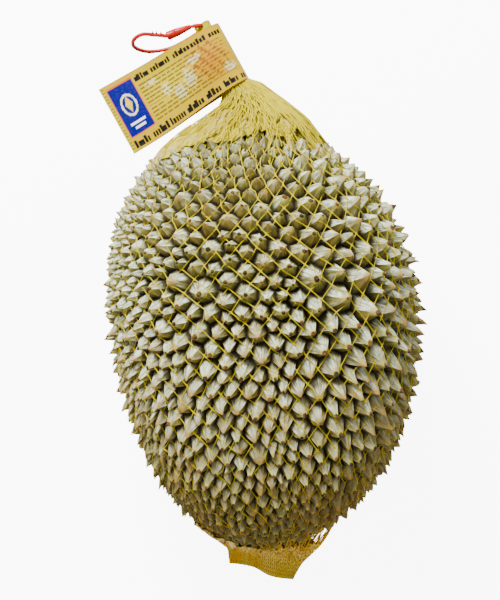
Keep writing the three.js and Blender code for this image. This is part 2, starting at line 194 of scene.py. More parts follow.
class Finish:
    """A material's node tree, built a node at a time."""

    def __init__(self, name):
        self.material = bpy.data.materials.new(name)
        self.material.use_nodes = True
        self.nodes = self.material.node_tree.nodes
        self.links = self.material.node_tree.links
        self.surface = self.nodes["Principled BSDF"]

    def add(self, kind, **settings):
        node = self.nodes.new(kind)
        for key, value in settings.items():
            setattr(node, key, value)
        return node

    def join(self, source, target):
        if isinstance(source, (int, float)):
            target.default_value = source
        elif isinstance(source, (tuple, list)):
            target.default_value = (*source, 1.0) if len(target.default_value) == 4 else source
        else:
            self.links.new(source, target)

    def sum(self, operation, first, second=0.0, third=0.0):
        node = self.add("ShaderNodeMath", operation=operation)
        for k, value in enumerate((first, second, third)):
            self.join(value, node.inputs[k])
        return node.outputs[0]

    def mix(self, share, first, second, blend="MIX"):
        node = self.add("ShaderNodeMix", data_type="RGBA", blend_type=blend)
        self.join(share, node.inputs["Factor"])
        self.join(first, node.inputs[6])
        self.join(second, node.inputs[7])
        return node.outputs[2]

    def between(self, value, low, high, to_low=0.0, to_high=1.0):
        node = self.add("ShaderNodeMapRange", interpolation_type="SMOOTHSTEP")
        for k, item in enumerate((value, low, high, to_low, to_high)):
            self.join(item, node.inputs[k])
        return node.outputs[0]

    def ramp(self, value, *stops):
        node = self.add("ShaderNodeValToRGB")
        points = node.color_ramp.elements
        while len(points) < len(stops):
            points.new(0.5)
        for point, (place, colour) in zip(points, stops):
            point.position = place
            point.color = (*colour, 1.0)
        self.join(value, node.inputs[0])
        return node.outputs[0]

    def place(self):
        return self.add("ShaderNodeTexCoord").outputs["Object"]

    def parts_of(self, vector):
        node = self.add("ShaderNodeSeparateXYZ")
        self.join(vector, node.inputs[0])
        return node.outputs

    def vector(self, x, y, z):
        node = self.add("ShaderNodeCombineXYZ")
        for k, value in enumerate((x, y, z)):
            self.join(value, node.inputs[k])
        return node.outputs[0]

    def noise(self, vector, scale, detail=3.0, roughness=0.55):
        node = self.add("ShaderNodeTexNoise")
        self.join(vector, node.inputs["Vector"])
        node.inputs["Scale"].default_value = scale
        node.inputs["Detail"].default_value = detail
        node.inputs["Roughness"].default_value = roughness
        return node.outputs["Fac"]

    def crossed_lines(self, round_pace, along_pace, wander):
        """The diamonds of flattened net, as two sets of lines that slant across the piece's UV map."""
        u, v, _ = self.parts_of(self.add("ShaderNodeUVMap", uv_map="UVMap").outputs[0])
        slants = [
            self.sum(
                "SINE",
                self.sum("MULTIPLY_ADD", u, round_pace, self.sum("MULTIPLY_ADD", v, pace, wander)),
            )
            for pace in (along_pace, -along_pace)
        ]
        return self.sum("MAXIMUM", *slants)

    def bump(self, height, distance, strength=1.0, under=None):
        node = self.add("ShaderNodeBump")
        node.inputs["Strength"].default_value = strength
        node.inputs["Distance"].default_value = distance
        self.join(height, node.inputs["Height"])
        if under is not None:
            self.join(under, node.inputs["Normal"])
        return node.outputs[0]


# ---------- settings ----------


class DURIAN_PG_husk(PropertyGroup):
    side_swell: FloatProperty(
        name="Side swell",
        description="How far the sides of a spike swell out halfway up",
        default=0.0002,
        min=0.0,
        max=0.004,
        unit="LENGTH",
    )
    facet_hollow: FloatProperty(
        name="Facet hollow",
        description="How far a facet is hollowed between two ridges",
        default=0.0006,
        min=0.0,
        max=0.002,
        unit="LENGTH",
    )
    tip_rounding: FloatProperty(
        name="Tip rounding",
        description="How far the spike tips are worn down",
        default=0.0005,
        min=0.0,
        max=0.004,
        unit="LENGTH",
    )
    tip_bend: FloatProperty(
        name="Tip bend",
        description="How far the spike tips bend to one side, at most",
        default=0.0024,
        min=0.0,
        max=0.005,
        unit="LENGTH",
    )
    unevenness: FloatProperty(
        name="Unevenness",
        description="Size of the dents and swellings of the spikes' sides",
        default=0.0005,
        min=0.0,
        max=0.002,
        unit="LENGTH",
    )
    flesh_colour: FloatVectorProperty(
        name="Husk colour",
        description="Colour of the spikes' sides",
        subtype="COLOR",
        size=3,
        default=(0.285, 0.27, 0.055),
        min=0.0,
        max=1.0,
    )
    # Painted highlight: whitish colour laid on the spikes' facets that face up and toward the stem end,
    # where the key light falls.
    highlight_colour: FloatVectorProperty(
        name="Frost colour",
        description="Colour of the powdery bloom on the spikes' upper sides",
        subtype="COLOR",
        size=3,
        default=(0.84, 0.96, 0.76),
        min=0.0,
        max=1.0,
    )
    # The husk's own dark brown between the spikes, deepened almost to black as painted shade in the
    # valleys.
    valley_shade_colour: FloatVectorProperty(
        name="Valley colour",
        description="Colour of the husk between the spikes",
        subtype="COLOR",
        size=3,
        default=(0.018, 0.011, 0.003),
        min=0.0,
        max=1.0,
    )


class DURIAN_PG_net(PropertyGroup):
    columns: IntProperty(
        name="Columns",
        description="Diamonds of the net round the fruit",
        default=44,
        min=12,
        max=60,
    )
    leg: FloatProperty(
        name="Leg",
        description="Length of one side of a diamond",
        default=0.0102,
        min=0.005,
        max=0.03,
        unit="LENGTH",
    )
    strand_radius: FloatProperty(
        name="Strand radius",
        description="Radius of a strand between its knots",
        default=0.00027,
        min=0.0002,
        max=0.001,
        unit="LENGTH",
    )
    settling_steps: IntProperty(
        name="Settling steps",
        description="Steps for which the net is drawn in over the spikes",
        default=60,
        min=0,
        max=160,
    )
    neck_folds: IntProperty(
        name="Neck folds",
        description="Strands of slack net gathered at the neck",
        default=230,
        min=0,
        max=400,
    )
    seam_folds: IntProperty(
        name="Seam folds",
        description="Strands of slack net gathered at the welded end",
        default=150,
        min=0,
        max=400,
    )
    neck_colour: FloatVectorProperty(
        name="Net colour",
        description="Colour of the net at the neck",
        subtype="COLOR",
        size=3,
        default=(0.46, 0.37, 0.0),
        min=0.0,
        max=1.0,
    )
    seam_colour: FloatVectorProperty(
        name="Seam colour",
        description="Colour of the net at the welded end",
        subtype="COLOR",
        size=3,
        default=(0.76, 0.42, 0.0),
        min=0.0,
        max=1.0,
    )


class DURIAN_PG_label(PropertyGroup):
    film_thickness: FloatProperty(
        name="Film thickness",
        description="Thickness of the label's film",
        default=0.0003,
        min=0.0001,
        max=0.001,
        unit="LENGTH",
    )
    ground_colour: FloatVectorProperty(
        name="Ground colour",
        description="Colour that the label is printed on",
        subtype="COLOR",
        size=3,
        default=(0.46, 0.31, 0.0),
        min=0.0,
        max=1.0,
    )
    panel_colour: FloatVectorProperty(
        name="Panel colour",
        description="Colour of the emblem's panel",
        subtype="COLOR",
        size=3,
        default=(0.001, 0.003, 0.15),
        min=0.0,
        max=1.0,
    )


class DURIAN_PG_tie(PropertyGroup):
    strand_radius: FloatProperty(
        name="Strand radius",
        description="Radius of the tie's strand",
        default=0.00125,
        min=0.0005,
        max=0.003,
        unit="LENGTH",
    )
    head_radius: FloatProperty(
        name="Head radius",
        description="Radius of the tie's locking head",
        default=0.0027,
        min=0.001,
        max=0.005,
        unit="LENGTH",
    )
    colour: FloatVectorProperty(
        name="Tie colour",
        description="Colour of the moulded plastic",
        subtype="COLOR",
        size=3,
        default=(0.46, 0.004, 0.0),
        min=0.0,
        max=1.0,
    )


class DURIAN_PG_stage(PropertyGroup):
    camera_distance: FloatProperty(
        name="Camera distance",
        description="From the camera to the middle of the fruit",
        default=1.03,
        min=0.4,
        max=4.0,
        unit="LENGTH",
    )
    camera_turn: FloatProperty(
        name="Camera turn",
        description="How far the fruit's stem end leans to the left in the view",
        default=math.radians(8),
        subtype="ANGLE",
    )
    floor_colour: FloatVectorProperty(
        name="Floor colour",
        description="Colour of the plain floor",
        subtype="COLOR",
        size=3,
        default=(0.88, 0.88, 0.87),
        min=0.0,
        max=1.0,
    )


# ---------- the husk ----------


def mark_spikes(mesh):
    """Marks each point with its height on its spike, and each facet with where it lies."""
    places = get_places(mesh)
    edges = np.array([edge.vertices[:] for edge in mesh.edges])
    outward = outward_from_axis(places)
    rise = np.zeros(len(places))
    count = np.zeros(len(places))
    for start, end in (edges.T, edges.T[::-1]):
        step = np.einsum("ij,ij->i", places[end] - places[start], outward[start])
        np.add.at(rise, start, step)
        np.add.at(count, start, 1)
    height = (rise / count < -0.003).astype(float)
    side = places[:, 0] + AXIS_BOW * places[:, 1] ** 2
    angle = np.arctan2(side, WIDEST_HEIGHT - places[:, 2])
    reach = np.hypot(side, (places[:, 2] - WIDEST_HEIGHT) / DEPTH_SHARE)
    depth = np.array([tip_radius(y, turn) for y, turn in zip(places[:, 1], angle)]) - reach
    pressed = places[:, 2] < 0.0022
    height[pressed] = np.clip(1 - depth[pressed] / 0.011, 0.0, 1.0)
    crown = np.hypot(places[:, 0] + 0.007, places[:, 2] - WIDEST_HEIGHT)
    stalk = (crown < 0.0100) & (places[:, 1] > 0.095)
    height[stalk] = 0.45

    rng = np.random.default_rng(5)
    tips = np.where((height > 0.99) & ~pressed)[0]
    is_tip = np.zeros(len(places), bool)
    is_tip[tips] = True
    bends = np.zeros((len(places), 3))
    bends[tips] = rng.normal(0, 1, (len(tips), 3))
    bends[tips, 1] -= 0.6
    tone = np.full(len(places), 0.5)
    tone[tips] = rng.uniform(0, 1, len(tips))
    for name, values in (
        ("height", height),
        ("stalk", stalk.astype(float)),
        ("pressed", pressed.astype(float)),
        ("tone", tone),
        ("bend_x", bends[:, 0]),
        ("bend_y", bends[:, 1]),
        ("bend_z", bends[:, 2]),
    ):
        add_number(mesh, name, values)

    layer = mesh.uv_layers.new(name="facets")
    for number, face in enumerate(mesh.polygons):
        seed = number % 61
        corners = list(face.loop_indices)
        on_tip = [is_tip[mesh.loops[k].vertex_index] for k in corners]
        if sum(on_tip) == 1:
            first = on_tip.index(True)
            layer.data[corners[first]].uv = (seed + 0.1, 1.0)
            layer.data[corners[first - 2]].uv = (seed + 0.1, 0.0)
            layer.data[corners[first - 1]].uv = (seed + 0.9, 0.0)
        else:
            for k in corners:
                share = height[mesh.loops[k].vertex_index]
                layer.data[k].uv = (seed + 0.1 + 0.4 * (1 - share), share)


def outward_from_axis(places):
    outward = places - axis_line(places)
    return outward / np.linalg.norm(outward, axis=-1)[..., None]


def shape_spikes(mesh, settings):
    """Swells the spikes' sides, hollows their facets, rounds their tips and bends them."""
    places = get_places(mesh)
    height = get_numbers(mesh, "height")
    free = 1 - np.clip(get_numbers(mesh, "stalk") + get_numbers(mesh, "pressed"), 0, 1)
    bends = np.stack([get_numbers(mesh, f"bend_{k}") for k in "xyz"], axis=1)

    loop_points = np.empty(len(mesh.loops), int)
    mesh.loops.foreach_get("vertex_index", loop_points)
    facets = np.empty(len(mesh.loops) * 2)
    mesh.uv_layers["facets"].data.foreach_get("uv", facets)
    facets = facets.reshape(-1, 2)
    across = np.zeros(len(places))
    across[loop_points] = (facets[:, 0] % 1.0 - 0.1) / 0.8
    share = np.clip(across / np.maximum(1 - height, 0.02), 0, 1)

    outward = outward_from_axis(places)
    swell = settings.side_swell * 4 * height * (1 - height)
    hollow = settings.facet_hollow * 16 * share * (1 - share) * height * (1 - height)
    blunt = settings.tip_rounding * smooth_step(0.70, 1.0, height)
    uneven = np.array(
        [noise.fractal(Vector(place) * 260, 0.8, 2.0, 3) for place in places]
    )
    uneven *= settings.unevenness * smooth_step(0.0, 0.3, height)
    places += outward * ((swell - hollow - blunt + uneven) * free)[:, None]
    noise.seed_set(5)  # unseeded, noise_vector takes its offsets from the clock
    sway = np.array([noise.noise_vector(Vector(place) * 170) for place in places])
    bend = bends * settings.tip_bend * 0.45 * (height**1.5)[:, None]
    places += (bend + sway * 0.0007 * height[:, None]) * free[:, None]
    places[:, 2] = np.maximum(places[:, 2], 0.0)
    set_places(mesh, places)


def husk_finish(settings):
    """Olive husk: brown valleys deepened by painted shade, paler sides where a painted highlight lies on
    the facets facing up and toward the stem end, painted yellow highlights on the ridges, fine lines,
    and dry brown tips.
    """
    finish = Finish("durian_husk")
    uv = finish.add("ShaderNodeUVMap", uv_map="facets").outputs[0]
    u, height, _ = finish.parts_of(uv)
    tone = finish.add("ShaderNodeAttribute", attribute_name="tone").outputs["Fac"]
    place = finish.place()
    _, along, _ = finish.parts_of(place)

    number = finish.sum("FLOOR", u)
    across = finish.sum("DIVIDE", finish.sum("SUBTRACT", finish.sum("FRACT", u), 0.1), 0.8)
    fan = finish.sum("DIVIDE", across, finish.sum("SUBTRACT", 1.04, height))
    line_place = finish.vector(
        finish.sum("MULTIPLY_ADD", fan, 8.0, finish.sum("MULTIPLY", number, 3.71)),
        finish.sum("MULTIPLY", height, 0.8),
        finish.sum("MULTIPLY", number, 1.37),
    )
    lines = finish.noise(line_place, 1.0, 5.0, 0.68)
    blotches = finish.noise(place, 120.0, 4.0, 0.62)
    patches = finish.noise(place, 22.0, 3.0, 0.55)
    specks = finish.noise(place, 330.0, 3.0, 0.6)
    grain = finish.noise(place, 900.0, 3.0, 0.6)
    towards_blossom = finish.between(along, 0.02, -0.12)

    level = finish.sum(
        "ADD", height, finish.sum("MULTIPLY", finish.sum("SUBTRACT", blotches, 0.5), 0.30)
    )
    flesh = tuple(settings.flesh_colour)
    valley_shade = tuple(settings.valley_shade_colour)
    highlight = tuple(settings.highlight_colour)
    # Painted shade: the colour darkens from the spike tips down into the valleys, through darker copies
    # of the husk colour.
    body = finish.ramp(
        level,
        (0.02, valley_shade),
        (0.12, tuple(0.4 * v + 0.16 * f for v, f in zip(valley_shade, flesh))),
        (0.28, tuple(0.55 * f for f in flesh)),
        (0.58, flesh),
        (0.84, tuple(0.75 * f + 0.28 * p for f, p in zip(flesh, highlight))),
    )
    body = finish.mix(finish.between(tone, 0.55, 0.05, 0.0, 0.55), body, (0.20, 0.155, 0.045))
    line_colour = finish.ramp(
        lines,
        (0.34, (0.20, 0.13, 0.04)),
        (0.45, (0.66, 0.60, 0.42)),
        (0.58, (1.0, 1.0, 0.96)),
    )
    body = finish.mix(0.92, body, line_colour, "MULTIPLY")
    brown = finish.sum("MULTIPLY", finish.between(patches, 0.42, 0.62), 0.50)
    brown = finish.sum("MULTIPLY_ADD", towards_blossom, 0.48, brown)
    brown = finish.sum("MULTIPLY", brown, finish.between(level, 0.12, 0.42))
    body = finish.mix(brown, body, finish.mix(blotches, (0.16, 0.085, 0.008), (0.38, 0.24, 0.03)))
    green = finish.sum("MULTIPLY", finish.between(tone, 0.55, 0.95), finish.between(height, 0.35, 0.75))
    body = finish.mix(finish.sum("MULTIPLY", green, 0.5), body, (0.52, 0.52, 0.07))

    # Painted highlight: facets facing up and toward the stem end, where the key light falls, are
    # whitened, less towards the blossom end and broken up by the lines and blotches.
    normal = finish.add("ShaderNodeNewGeometry").outputs["Normal"]
    _, facing_stem, facing_up = finish.parts_of(normal)
    facing = finish.sum(
        "ADD", finish.sum("MULTIPLY", facing_up, 0.62), finish.sum("MULTIPLY", facing_stem, 0.72)
    )
    painted_highlight = finish.between(facing, 0.30, 0.90)
    painted_highlight = finish.sum("MULTIPLY", painted_highlight, finish.between(level, 0.12, 0.42))
    painted_highlight = finish.sum("MULTIPLY", painted_highlight, finish.between(tone, 0.0, 0.45, 0.55, 1.0))
    painted_highlight = finish.sum("MULTIPLY", painted_highlight, finish.between(lines, 0.38, 0.54, 0.06, 0.95))
    painted_highlight = finish.sum("MULTIPLY", painted_highlight, finish.between(blotches, 0.34, 0.52, 0.25, 1.0))
    painted_highlight = finish.sum("MULTIPLY", painted_highlight, finish.sum("MULTIPLY_ADD", towards_blossom, -0.55, 1.0))
    body = finish.mix(painted_highlight, body, highlight)

    # Painted highlight: speckled yellow along the ridges between the facets.
    ridge_highlight = finish.sum("ABSOLUTE", finish.sum("SUBTRACT", finish.sum("MINIMUM", fan, 1.0), 0.5))
    ridge_highlight = finish.sum("MULTIPLY", finish.between(ridge_highlight, 0.40, 0.49), finish.between(specks, 0.42, 0.58))
    ridge_highlight = finish.sum("MULTIPLY", ridge_highlight, finish.between(height, 0.25, 0.5))
    body = finish.mix(finish.sum("MULTIPLY", ridge_highlight, 0.6), body, (0.62, 0.58, 0.03))

    ragged = finish.sum(
        "ADD", height, finish.sum("MULTIPLY", finish.sum("SUBTRACT", specks, 0.5), 0.20)
    )
    halo = finish.between(ragged, 0.62, 0.80, 0.0, 0.75)
    fresh = finish.mix(finish.between(tone, 0.2, 0.7), (0.48, 0.27, 0.03), (0.62, 0.62, 0.04))
    body = finish.mix(halo, body, fresh)
    dry = finish.between(tone, 0.30, 0.55, 0.92, 0.76)
    dot = finish.between(finish.sum("SUBTRACT", ragged, dry), 0.0, 0.05)
    withered = finish.mix(
        finish.between(specks, 0.45, 0.6), (0.035, 0.014, 0.004), (0.20, 0.07, 0.010)
    )
    body = finish.mix(dot, body, withered)
    body = finish.mix(finish.between(grain, 0.52, 0.70, 0.0, 0.30), body, (0.10, 0.07, 0.02))
    finish.join(body, finish.surface.inputs["Base Color"])
    finish.join(finish.between(lines, 0.3, 0.7, 0.82, 0.55), finish.surface.inputs["Roughness"])
    finish.surface.inputs["Specular IOR Level"].default_value = 0.3
    ridged = finish.bump(lines, 0.0011, 1.0)
    finish.join(finish.bump(grain, 0.0003, 0.7, ridged), finish.surface.inputs["Normal"])
    return finish.material


class DURIAN_OT_make_husk(Operator):
    """Make the durian's husk from the frame's own solid"""

    bl_idname = "durian.make_husk"
    bl_label = "Husk"

    def execute(self, context):
        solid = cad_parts["durian_fruit"]
        husk = solid.copy()
        husk.data = solid.data.copy()
        husk.name = "durian_husk"
        for key in list(husk.keys()):
            if key.startswith("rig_"):
                del husk[key]
        husk.parent = None
        context.scene.collection.objects.link(husk)
        husk.hide_render = husk.hide_viewport = False
        activate(husk)
        bpy.ops.mesh.customdata_custom_splitnormals_clear()
        for layer in list(husk.data.uv_layers):
            husk.data.uv_layers.remove(layer)
        in_edit_mode(husk, (bpy.ops.mesh.remove_doubles, {"threshold": 0.00001}))
        mark_spikes(husk.data)
        in_edit_mode(husk, (bpy.ops.mesh.subdivide, {"number_cuts": 3}))
        shape_spikes(husk.data, context.scene.durian_husk)
        smooth_shade(husk, 38)
        fit_piece(husk, husk_finish(context.scene.durian_husk), "husk", "durian_fruit")
        return {"FINISHED"}


# ---------- the net ----------

WAY_STEPS = 90  # along each half of the net, in the table of its ways
WAY_ANGLES = 360
STEM_RING = 5 + 2 * WAY_STEPS  # the place in that table where the net reaches the neck
SLEEVE_COLUMNS = 320  # of the crumpled sleeves inside both ends of the net
SLEEVE_ROWS = 26
SLEEVE_WALL = 0.0003


def taut_way(fruit_end, ring, angle):
    """From the widest section over the spike tips, then straight to the ring at one end."""
    steps = np.sin(0.5 * math.pi * np.arange(60) / 60) * fruit_end
    on_fruit = np.array([husk_point(y, angle, 0.0008) for y in steps])
    out = np.array([math.sin(angle), 0.0, -math.cos(angle)])

    def radial(points):
        return (points - np.array([axis_point(p[1]) for p in points])) @ out

    slope = (radial(on_fruit) - radial(ring[None])[0]) / np.abs(ring[1] - on_fruit[:, 1])
    leave = int(np.argmax(slope))
    return np.vstack([on_fruit[: leave + 1], ring])


def even_steps(way, steps):
    """The same way, as evenly spaced points."""
    lengths = np.concatenate([[0], np.cumsum(np.linalg.norm(np.diff(way, axis=0), axis=1))])
    wanted = np.linspace(0, lengths[-1], steps + 1)
    return np.stack([np.interp(wanted, lengths, way[:, k]) for k in range(3)], axis=1)


NECK_STATIONS = (
    (-0.0040, 0.0118, 0.0080),
    (-0.0015, 0.0092, 0.0072),
    (0.002, 0.0074, 0.0066),
    (0.010, 0.0068, 0.0062),
    (0.024, 0.0062, 0.0056),
    (0.036, 0.0050, 0.0046),
    (0.040, 0.0048, 0.0044),
    (0.0422, 0.0050, 0.0044),
)


def net_way(angle):
    """The net's whole way at one angle, from the welded end to the tuft past the label."""
    seam_ring = seam_point(0.009, 0.0235, 0.0065, angle)
    neck_ring = neck_point(-0.007, 0.0150, 0.0092, angle)
    blossom = even_steps(taut_way(-BLOSSOM_END, seam_ring, angle), WAY_STEPS)
    stem = even_steps(taut_way(STEM_END, neck_ring, angle), WAY_STEPS)
    flap = np.array(
        [
            seam_point(0.009 * k, 0.0205 + 0.003 * k, 0.0003 + 0.0062 * k * k, angle)
            for k in np.linspace(0, 1, 6)[:-1]
        ]
    )
    neck = np.array([neck_point(*station, angle) for station in NECK_STATIONS])
    return flap, blossom[::-1], stem[1:], even_steps(neck, 20)


class NetWays:
    """The net's surface as a table, so that any point of it can be looked up."""

    def __init__(self):
        angles = np.arange(WAY_ANGLES) * 2 * math.pi / WAY_ANGLES
        self.table = np.array([np.vstack(net_way(angle)) for angle in angles])
        self.last = self.table.shape[1] - 1
        self.pace = np.linalg.norm(np.diff(self.table, axis=1), axis=2).mean(0)
        self.girth = np.linalg.norm(self.table - np.roll(self.table, 1, axis=0), axis=2).sum(0)

    def rows(self, columns, leg):
        """Places along the table at which the rows of knots lie."""
        place = 0.0
        rows = [place]
        while place < self.last - 0.5:
            half_width = 0.5 * self.girth[min(int(place), self.last - 1)] / columns
            spacing = math.sqrt(max(leg**2 - half_width**2, (0.45 * leg) ** 2))
            travelled = 0.0
            while travelled < spacing and place < self.last:
                pace = self.pace[min(int(place), self.last - 1)]
                stride = min((spacing - travelled) / pace, math.floor(place) + 1 - place)
                stride = max(stride, 1e-6)
                travelled += stride * pace
                place += stride
            rows.append(min(place, self.last))
        return np.array(rows)

    def gathered(self, place, angle):
        """Near the neck, the net is drawn together on the side where it hangs slack."""
        bunch = 0.55 * smooth_step(5 + WAY_STEPS * 1.25, 5 + WAY_STEPS * 1.9, place)
        bunch = bunch * (1 - smooth_step(STEM_RING + 2, STEM_RING + 7, place))
        return angle - bunch * np.sin(angle - math.radians(128))

    def at(self, place, angle):
        """Points at places along the table, for angles in radians."""
        place, angle = np.broadcast_arrays(place, angle)
        turn = np.mod(self.gathered(place, angle) / (2 * math.pi), 1) * WAY_ANGLES
        row = np.floor(place).astype(int).clip(0, self.last - 1)
        way = np.floor(turn).astype(int) % WAY_ANGLES
        down, over = (place - row)[..., None], (turn - np.floor(turn))[..., None]
        near = self.table[way, row] * (1 - down) + self.table[way, row + 1] * down
        way = (way + 1) % WAY_ANGLES
        far = self.table[way, row] * (1 - down) + self.table[way, row + 1] * down
        return near * (1 - over) + far * over


def axis_line(points):
    """The fruit's axis beside each point, nearer the middle than the point is."""
    y = points[..., 1] * 0.6
    return np.stack([-AXIS_BOW * y * y, y, np.full_like(y, WIDEST_HEIGHT)], axis=-1)


def husk_tree():
    mesh = bpy.data.objects["durian_husk"].data
    return BVHTree.FromPolygons(
        [point.co for point in mesh.vertices], [face.vertices[:] for face in mesh.polygons]
    )


def push_out(line, held, tree, clearance):
    """Puts the points of a strand that are inside the husk back on its surface."""
    for k in held:
        point = Vector(line[k])
        near, normal, _, distance = tree.find_nearest(point, 0.012)
        if near is None:
            continue
        off = point - near
        if off.dot(normal) < 0:
            line[k] = near + normal * clearance
        elif distance < clearance:
            line[k] = near + off.normalized() * clearance
    line[:, 2] = np.maximum(line[:, 2], 0.0006)


def straighten(strands, free, pull):
    """One step of drawing strands taut and in towards the fruit's axis."""
    near = np.zeros_like(strands)
    near[:, 1:-1] = 0.5 * (strands[:, 2:] + strands[:, :-2]) - strands[:, 1:-1]
    far = np.zeros_like(strands)
    far[:, 3:-3] = 0.5 * (strands[:, 6:] + strands[:, :-6]) - strands[:, 3:-3]
    strands += (0.45 * near + 0.12 * far - pull * outward_from_axis(strands)) * free


def settle_net(right, left, crossings, substeps, held, settings):
    """Draws the net taut over the spikes. It slides off what it meets."""
    tree = husk_tree()
    free = np.zeros(right.shape[1])
    free[held] = 1
    free = free[None, :, None]
    clearance = settings.strand_radius * 1.1
    for step in range(settings.settling_steps):
        pull = 0.00016 * (1 - 0.5 * step / settings.settling_steps)
        for strands in (right, left):
            straighten(strands, free, pull)
        join_crossings(right, left, crossings, substeps)
        if step % 2 == 1:
            for strands in (right, left):
                for line in strands:
                    push_out(line, held, tree, clearance)
    join_crossings(right, left, crossings, substeps)
    for strands in (right, left):
        for line in strands:
            push_out(line, held, tree, clearance)


def join_crossings(right, left, crossings, substeps):
    """Puts each knot at the mean of the two strands that meet there."""
    for row, match in enumerate(crossings):
        k = row * substeps
        middle = 0.5 * (right[:, k] + left[match, k])
        right[:, k] = middle
        left[match, k] = middle


def tube_strands(name, lines, radius, swell, sides=1):
    """Round strands along lines of points, as one mesh. swell scales the radius at each point."""
    curve = bpy.data.curves.new(name, "CURVE")
    curve.dimensions = "3D"
    curve.bevel_depth = radius
    curve.bevel_resolution = sides
    curve.use_fill_caps = True
    for line in lines:
        spline = curve.splines.new("POLY")
        spline.points.add(len(line) - 1)
        spline.points.foreach_set("co", np.column_stack([line, np.ones(len(line))]).ravel())
        spline.points.foreach_set("radius", swell[: len(line)])
    strands = bpy.data.objects.new(name, curve)
    bpy.context.scene.collection.objects.link(strands)
    activate(strands)
    bpy.ops.object.convert(target="MESH")
    strands = bpy.context.object
    strands.name = name
    bpy.ops.object.shade_smooth()
    return strands


def net_finish(settings):
    """Glossy extruded netting, bright at the neck and golden towards the welded end, with flecks of
    painted highlight.
    """
    finish = Finish("net_strands")
    place = finish.place()
    _, along, _ = finish.parts_of(place)
    patches = finish.noise(place, 60.0, 2.0)
    level = finish.sum("MULTIPLY_ADD", finish.sum("SUBTRACT", patches, 0.5), 0.06, along)
    colour = finish.mix(
        finish.between(level, -0.105, -0.140),
        tuple(settings.neck_colour),
        tuple(settings.seam_colour),
    )
    fine = finish.noise(place, 420.0, 3.0)
    # Painted highlight: flecks of paler yellow scattered along the strands.
    colour = finish.mix(finish.between(fine, 0.50, 0.75, 0.0, 0.4), colour, (0.70, 0.58, 0.0))
    finish.join(colour, finish.surface.inputs["Base Color"])
    finish.join(finish.between(fine, 0.3, 0.7, 0.40, 0.58), finish.surface.inputs["Roughness"])
    finish.surface.inputs["Specular IOR Level"].default_value = 0.1
    finish.join(finish.bump(fine, 0.0001, 0.5), finish.surface.inputs["Normal"])
    return finish.material


class DURIAN_OT_make_net(Operator):
    """Make the diamond net, drawn over the fruit from its welded end to its bunched neck"""

    bl_idname = "durian.make_net"
    bl_label = "Net"

    def execute(self, context):
        settings = context.scene.durian_net
        substeps = 5
        columns = settings.columns
        ways = NetWays()
        rows = ways.rows(columns, settings.leg)
        steps = np.arange((len(rows) - 1) * substeps + 1)
        places = np.interp(steps / substeps, np.arange(len(rows)), rows)
        start = np.arange(columns)[:, None] * 2 * math.pi / columns
        drift = math.pi / (columns * substeps) * steps[None, :]
        right = ways.at(places[None, :], start + drift)
        left = ways.at(places[None, :], start - drift)
        crossings = [(np.arange(columns) + row) % columns for row in range(len(rows))]
        held = np.nonzero((places > 6) & (places < STEM_RING))[0]
        settle_net(right, left, crossings, substeps, held, settings)

        swell = np.where(steps % substeps == 0, 1.7, 0.95)
        material = net_finish(settings)
        for name, lines, width in (
            ("net_strands_right", right, 1.15),
            ("net_strands_left", left, 0.8),
        ):
            strands = tube_strands(name, lines, settings.strand_radius * width, swell)
            fit_piece(strands, material, "net", "net_sleeve", "net_neck")
        self.make_gathers(ways, settings, material)
        return {"FINISHED"}

    def make_gathers(self, ways, settings, material):
        """The folds of slack net at both ends, and the bundle inside the label."""
        rng = np.random.default_rng(3)
        tree = husk_tree()
        lines = []
        for k in range(settings.neck_folds):
            angle = rng.normal(2.3, 0.75) if k % 5 < 3 else rng.uniform(0, 2 * math.pi)
            reach = rng.uniform(6, 30) if k % 3 else rng.uniform(20, 42)
            places = np.concatenate(
                [
                    np.linspace(STEM_RING - reach, STEM_RING, 16),
                    np.linspace(STEM_RING + 1, ways.last, 14),
                ]
            )
            turn = rng.normal(0, 0.22) * np.linspace(1, 0, 30) + angle
            turn = turn + 0.05 * np.sin(np.arange(30) * rng.uniform(0.5, 1.1) + rng.uniform(0, 6))
            line = ways.at(places, turn)
            inside = rng.uniform(0, 0.9) ** 2 * smooth_step(STEM_RING - 12, STEM_RING + 6, places)
            core = NECK_BASE + ((line - NECK_BASE) @ ALONG_NECK)[:, None] * ALONG_NECK
            line += (core - line) * inside[:, None]
            drawn_in = 0.006 * (1 - smooth_step(STEM_RING - 36, STEM_RING - 17, places))
            line += outward_from_axis(line) * (rng.uniform(-0.0004, 0.0008) - drawn_in)[:, None]
            push_out(line, range(16), tree, settings.strand_radius)
            lines.append(even_steps(line, 40))
        folds = tube_strands("net_neck_folds", lines, settings.strand_radius, np.ones(41))
        fit_piece(folds, material, "net", "net_sleeve", "net_neck")

        skirt, angle, share = flat_sleeve("net_neck_skirt")
        reach = 27 + 5 * np.sin(angle + 2.2) + 3 * np.sin(3 * angle) + 2 * np.sin(7 * angle + 1)
        places = ways.at(STEM_RING + 5 - (5 + reach) * share, angle)
        fold = 0.0008 * np.sin(29 * angle + 6 * share) + 0.0005 * np.sin(61 * angle - 9 * share)
        drawn_in = 0.0020 + 0.002 * smooth_step(0.7, 1.0, share)
        places += outward_from_axis(places) * (fold - drawn_in)[:, None]
        close_sleeve(skirt, places, tree)
        fit_piece(skirt, bunch_finish(settings), "net", "net_neck")

        lines = []
        for _ in range(settings.seam_folds):
            angle = rng.uniform(0, 2 * math.pi)
            places = np.linspace(1.0, rng.uniform(12, 27), 18)
            turn = angle + rng.normal(0, 0.30) * np.linspace(0, 1, 18) ** 1.5
            line = ways.at(places, turn)
            drawn_in = 0.005 * smooth_step(11, 24, places)
            line += outward_from_axis(line) * (rng.uniform(-0.0010, 0.0006) - drawn_in)[:, None]
            push_out(line, range(5, 18), tree, settings.strand_radius)
            lines.append(line)
        folds = tube_strands("net_seam_folds", lines, settings.strand_radius, np.ones(18))
        fit_piece(folds, material, "net", "net_sleeve", "net_seam")


